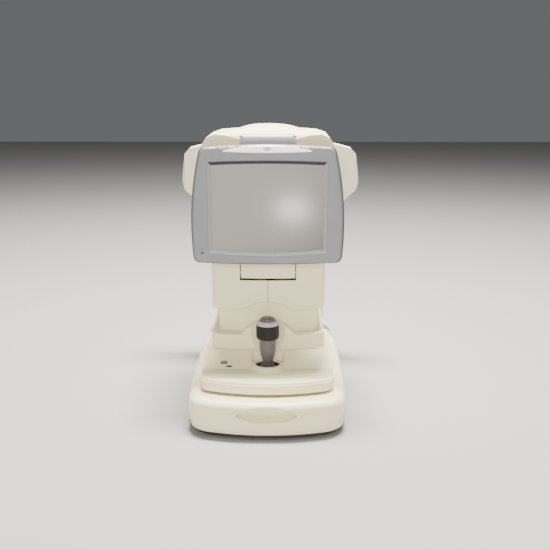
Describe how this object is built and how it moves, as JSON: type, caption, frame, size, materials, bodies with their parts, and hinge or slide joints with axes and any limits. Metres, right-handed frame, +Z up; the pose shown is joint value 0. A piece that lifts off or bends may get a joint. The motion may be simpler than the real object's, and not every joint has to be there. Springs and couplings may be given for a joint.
{
  "type": "autorefractor",
  "caption": "Table-top autorefractor with a tilting monitor over a joystick stage, a lifting head, and a chinrest under an arched headrest.",
  "frame": {"origin": "centre of the footprint box, on the table under the feet", "axes": "+Z up, -Y towards the operator and the monitor, +Y towards the patient, +X to the operator's right"},
  "size_m": [0.325, 0.4798, 0.448],
  "materials": {
    "white_plastic": "satin",
    "black_plate": "satin",
    "rubber": "matte",
    "steel": "brushed",
    "aluminium": "satin",
    "black_metal": "matte",
    "bronze": "satin",
    "motor_black": "satin",
    "board_green": "satin",
    "black_plastic": "matte",
    "bezel_grey": "satin",
    "dark_grey_plastic": "matte",
    "mauve_plastic": "satin",
    "mauve_metal": "satin",
    "screen_glass": "gloss",
    "lcd_black": "gloss",
    "lens_glass": "gloss",
    "paper": "matte",
    "chin_plastic": "satin",
    "pad_grey": "matte",
    "band_plastic": "satin"
  },
  "bodies": {
    "base": {"base_cover": "white_plastic", "base_plate": "black_plate", "rubber_feet": "rubber", "base_screws": "steel", "rail_blocks": "aluminium", "depth_rails": "steel", "power_supply": "black_metal", "main_board": "board_green", "power_inlet": "black_plastic", "side_panel": "black_plastic", "headrest_front_cover": "white_plastic", "headrest_rear_cover": "white_plastic", "headrest_posts": "steel", "forehead_band": "band_plastic", "forehead_pad": "pad_grey", "tower_cover": "white_plastic", "chin_guide": "aluminium", "chin_motor": "motor_black"},
    "carriage": {"carriage_frame": "aluminium", "rail_bushings": "bronze", "cross_shafts": "steel"},
    "stage": {"stage_chassis": "aluminium", "cross_bushings": "bronze", "deck_cover": "white_plastic", "lift_column": "aluminium", "lift_motor": "motor_black"},
    "lift_screw": {"lift_screw": "steel"},
    "gimbal": {"gimbal_ring": "black_metal"},
    "joystick": {"joystick_shaft": "steel", "joystick_grip": "mauve_plastic", "joystick_collar": "mauve_plastic"},
    "lift_ring": {"lift_ring": "black_plastic"},
    "measure_button": {"measure_button": "mauve_plastic"},
    "head": {"head_chassis": "aluminium", "lift_rams": "steel", "left_shell": "white_plastic", "right_shell": "white_plastic", "hood": "white_plastic", "hinge_bracket": "mauve_metal", "hinge_pin": "steel", "patient_panel": "white_plastic", "window_ring": "black_plastic", "optical_bench": "aluminium", "measuring_barrel": "black_metal", "objective_lens": "lens_glass", "camera_module": "motor_black", "printer_body": "black_plastic"},
    "platen": {"platen_roller": "black_plastic"},
    "paper_roll": {"paper_roll": "paper"},
    "printer_door": {"printer_door": "white_plastic"},
    "monitor": {"monitor_bezel": "bezel_grey", "monitor_back": "dark_grey_plastic", "touch_glass": "screen_glass", "lcd_panel": "lcd_black", "hinge_barrel": "mauve_plastic"},
    "chinrest": {"chin_post": "chin_plastic", "chin_cup": "chin_plastic", "paper_pins": "steel"},
    "chin_screw": {"chin_screw": "steel"},
    "power_switch": {"power_rocker": "black_plastic"}
  },
  "joints": [
    {"name": "stage_depth", "type": "slide", "parent": "base", "child": "carriage", "axis": [0, 1, 0], "range_m": [-0.02, 0.02]},
    {"name": "stage_cross", "type": "slide", "parent": "carriage", "child": "stage", "axis": [1, 0, 0], "range_m": [-0.043, 0.043]},
    {"name": "head_lift", "type": "slide", "parent": "stage", "child": "head", "axis": [0, 0, 1], "range_m": [-0.015, 0.015]},
    {"name": "lift_screw_turn", "type": "hinge", "parent": "stage", "child": "lift_screw", "pos_m": [0, -0.005, 0.15], "axis": [0, 0, 1], "range_deg": [-1400, 1400]},
    {"name": "stick_fore_aft", "type": "hinge", "parent": "stage", "child": "gimbal", "pos_m": [0, -0.12, 0.066], "axis": [1, 0, 0], "range_deg": [-10, 10]},
    {"name": "stick_sideways", "type": "hinge", "parent": "gimbal", "child": "joystick", "pos_m": [0, -0.12, 0.066], "axis": [0, 1, 0], "range_deg": [-10, 10]},
    {"name": "ring_turn", "type": "hinge", "parent": "joystick", "child": "lift_ring", "pos_m": [0, -0.12, 0.132], "axis": [0, 0, 1], "range_deg": [-280, 280]},
    {"name": "button_press", "type": "slide", "parent": "joystick", "child": "measure_button", "axis": [0, 0, -1], "range_m": [0, 0.002], "stiffness_N_per_m": 400, "springref_m": -0.0005},
    {"name": "platen_turn", "type": "hinge", "parent": "head", "child": "platen", "pos_m": [0, -0.064, 0.226], "axis": [1, 0, 0], "continuous": true},
    {"name": "paper_turn", "type": "hinge", "parent": "head", "child": "paper_roll", "pos_m": [0, -0.0375, 0.232], "axis": [1, 0, 0], "continuous": true},
    {"name": "door_open", "type": "hinge", "parent": "head", "child": "printer_door", "pos_m": [0, -0.073, 0.2166], "axis": [1, 0, 0], "range_deg": [0, 75]},
    {"name": "monitor_tilt", "type": "hinge", "parent": "head", "child": "monitor", "pos_m": [0, -0.0885, 0.4285], "axis": [-1, 0, 0], "range_deg": [0, 40]},
    {"name": "chinrest_lift", "type": "slide", "parent": "base", "child": "chinrest", "axis": [0, 0, 1], "range_m": [-0.032, 0.032]},
    {"name": "chin_screw_turn", "type": "hinge", "parent": "base", "child": "chin_screw", "pos_m": [0, 0.188, 0.08], "axis": [0, 0, 1], "range_deg": [-2900, 2900]},
    {"name": "power_rock", "type": "hinge", "parent": "base", "child": "power_switch", "pos_m": [0.1145, -0.145, 0.0315], "axis": [0, 0, 1], "range_deg": [-8, 8]}
  ],
  "couplings": [
    {"joint": "lift_screw_turn", "follows": "head_lift", "rad_per_m": 1570.8},
    {"joint": "ring_turn", "follows": "head_lift", "rad_per_m": 314.16},
    {"joint": "chin_screw_turn", "follows": "chinrest_lift", "rad_per_m": 1570.8},
    {"joint": "platen_turn", "follows": "paper_turn", "ratio": 3.4}
  ]
}
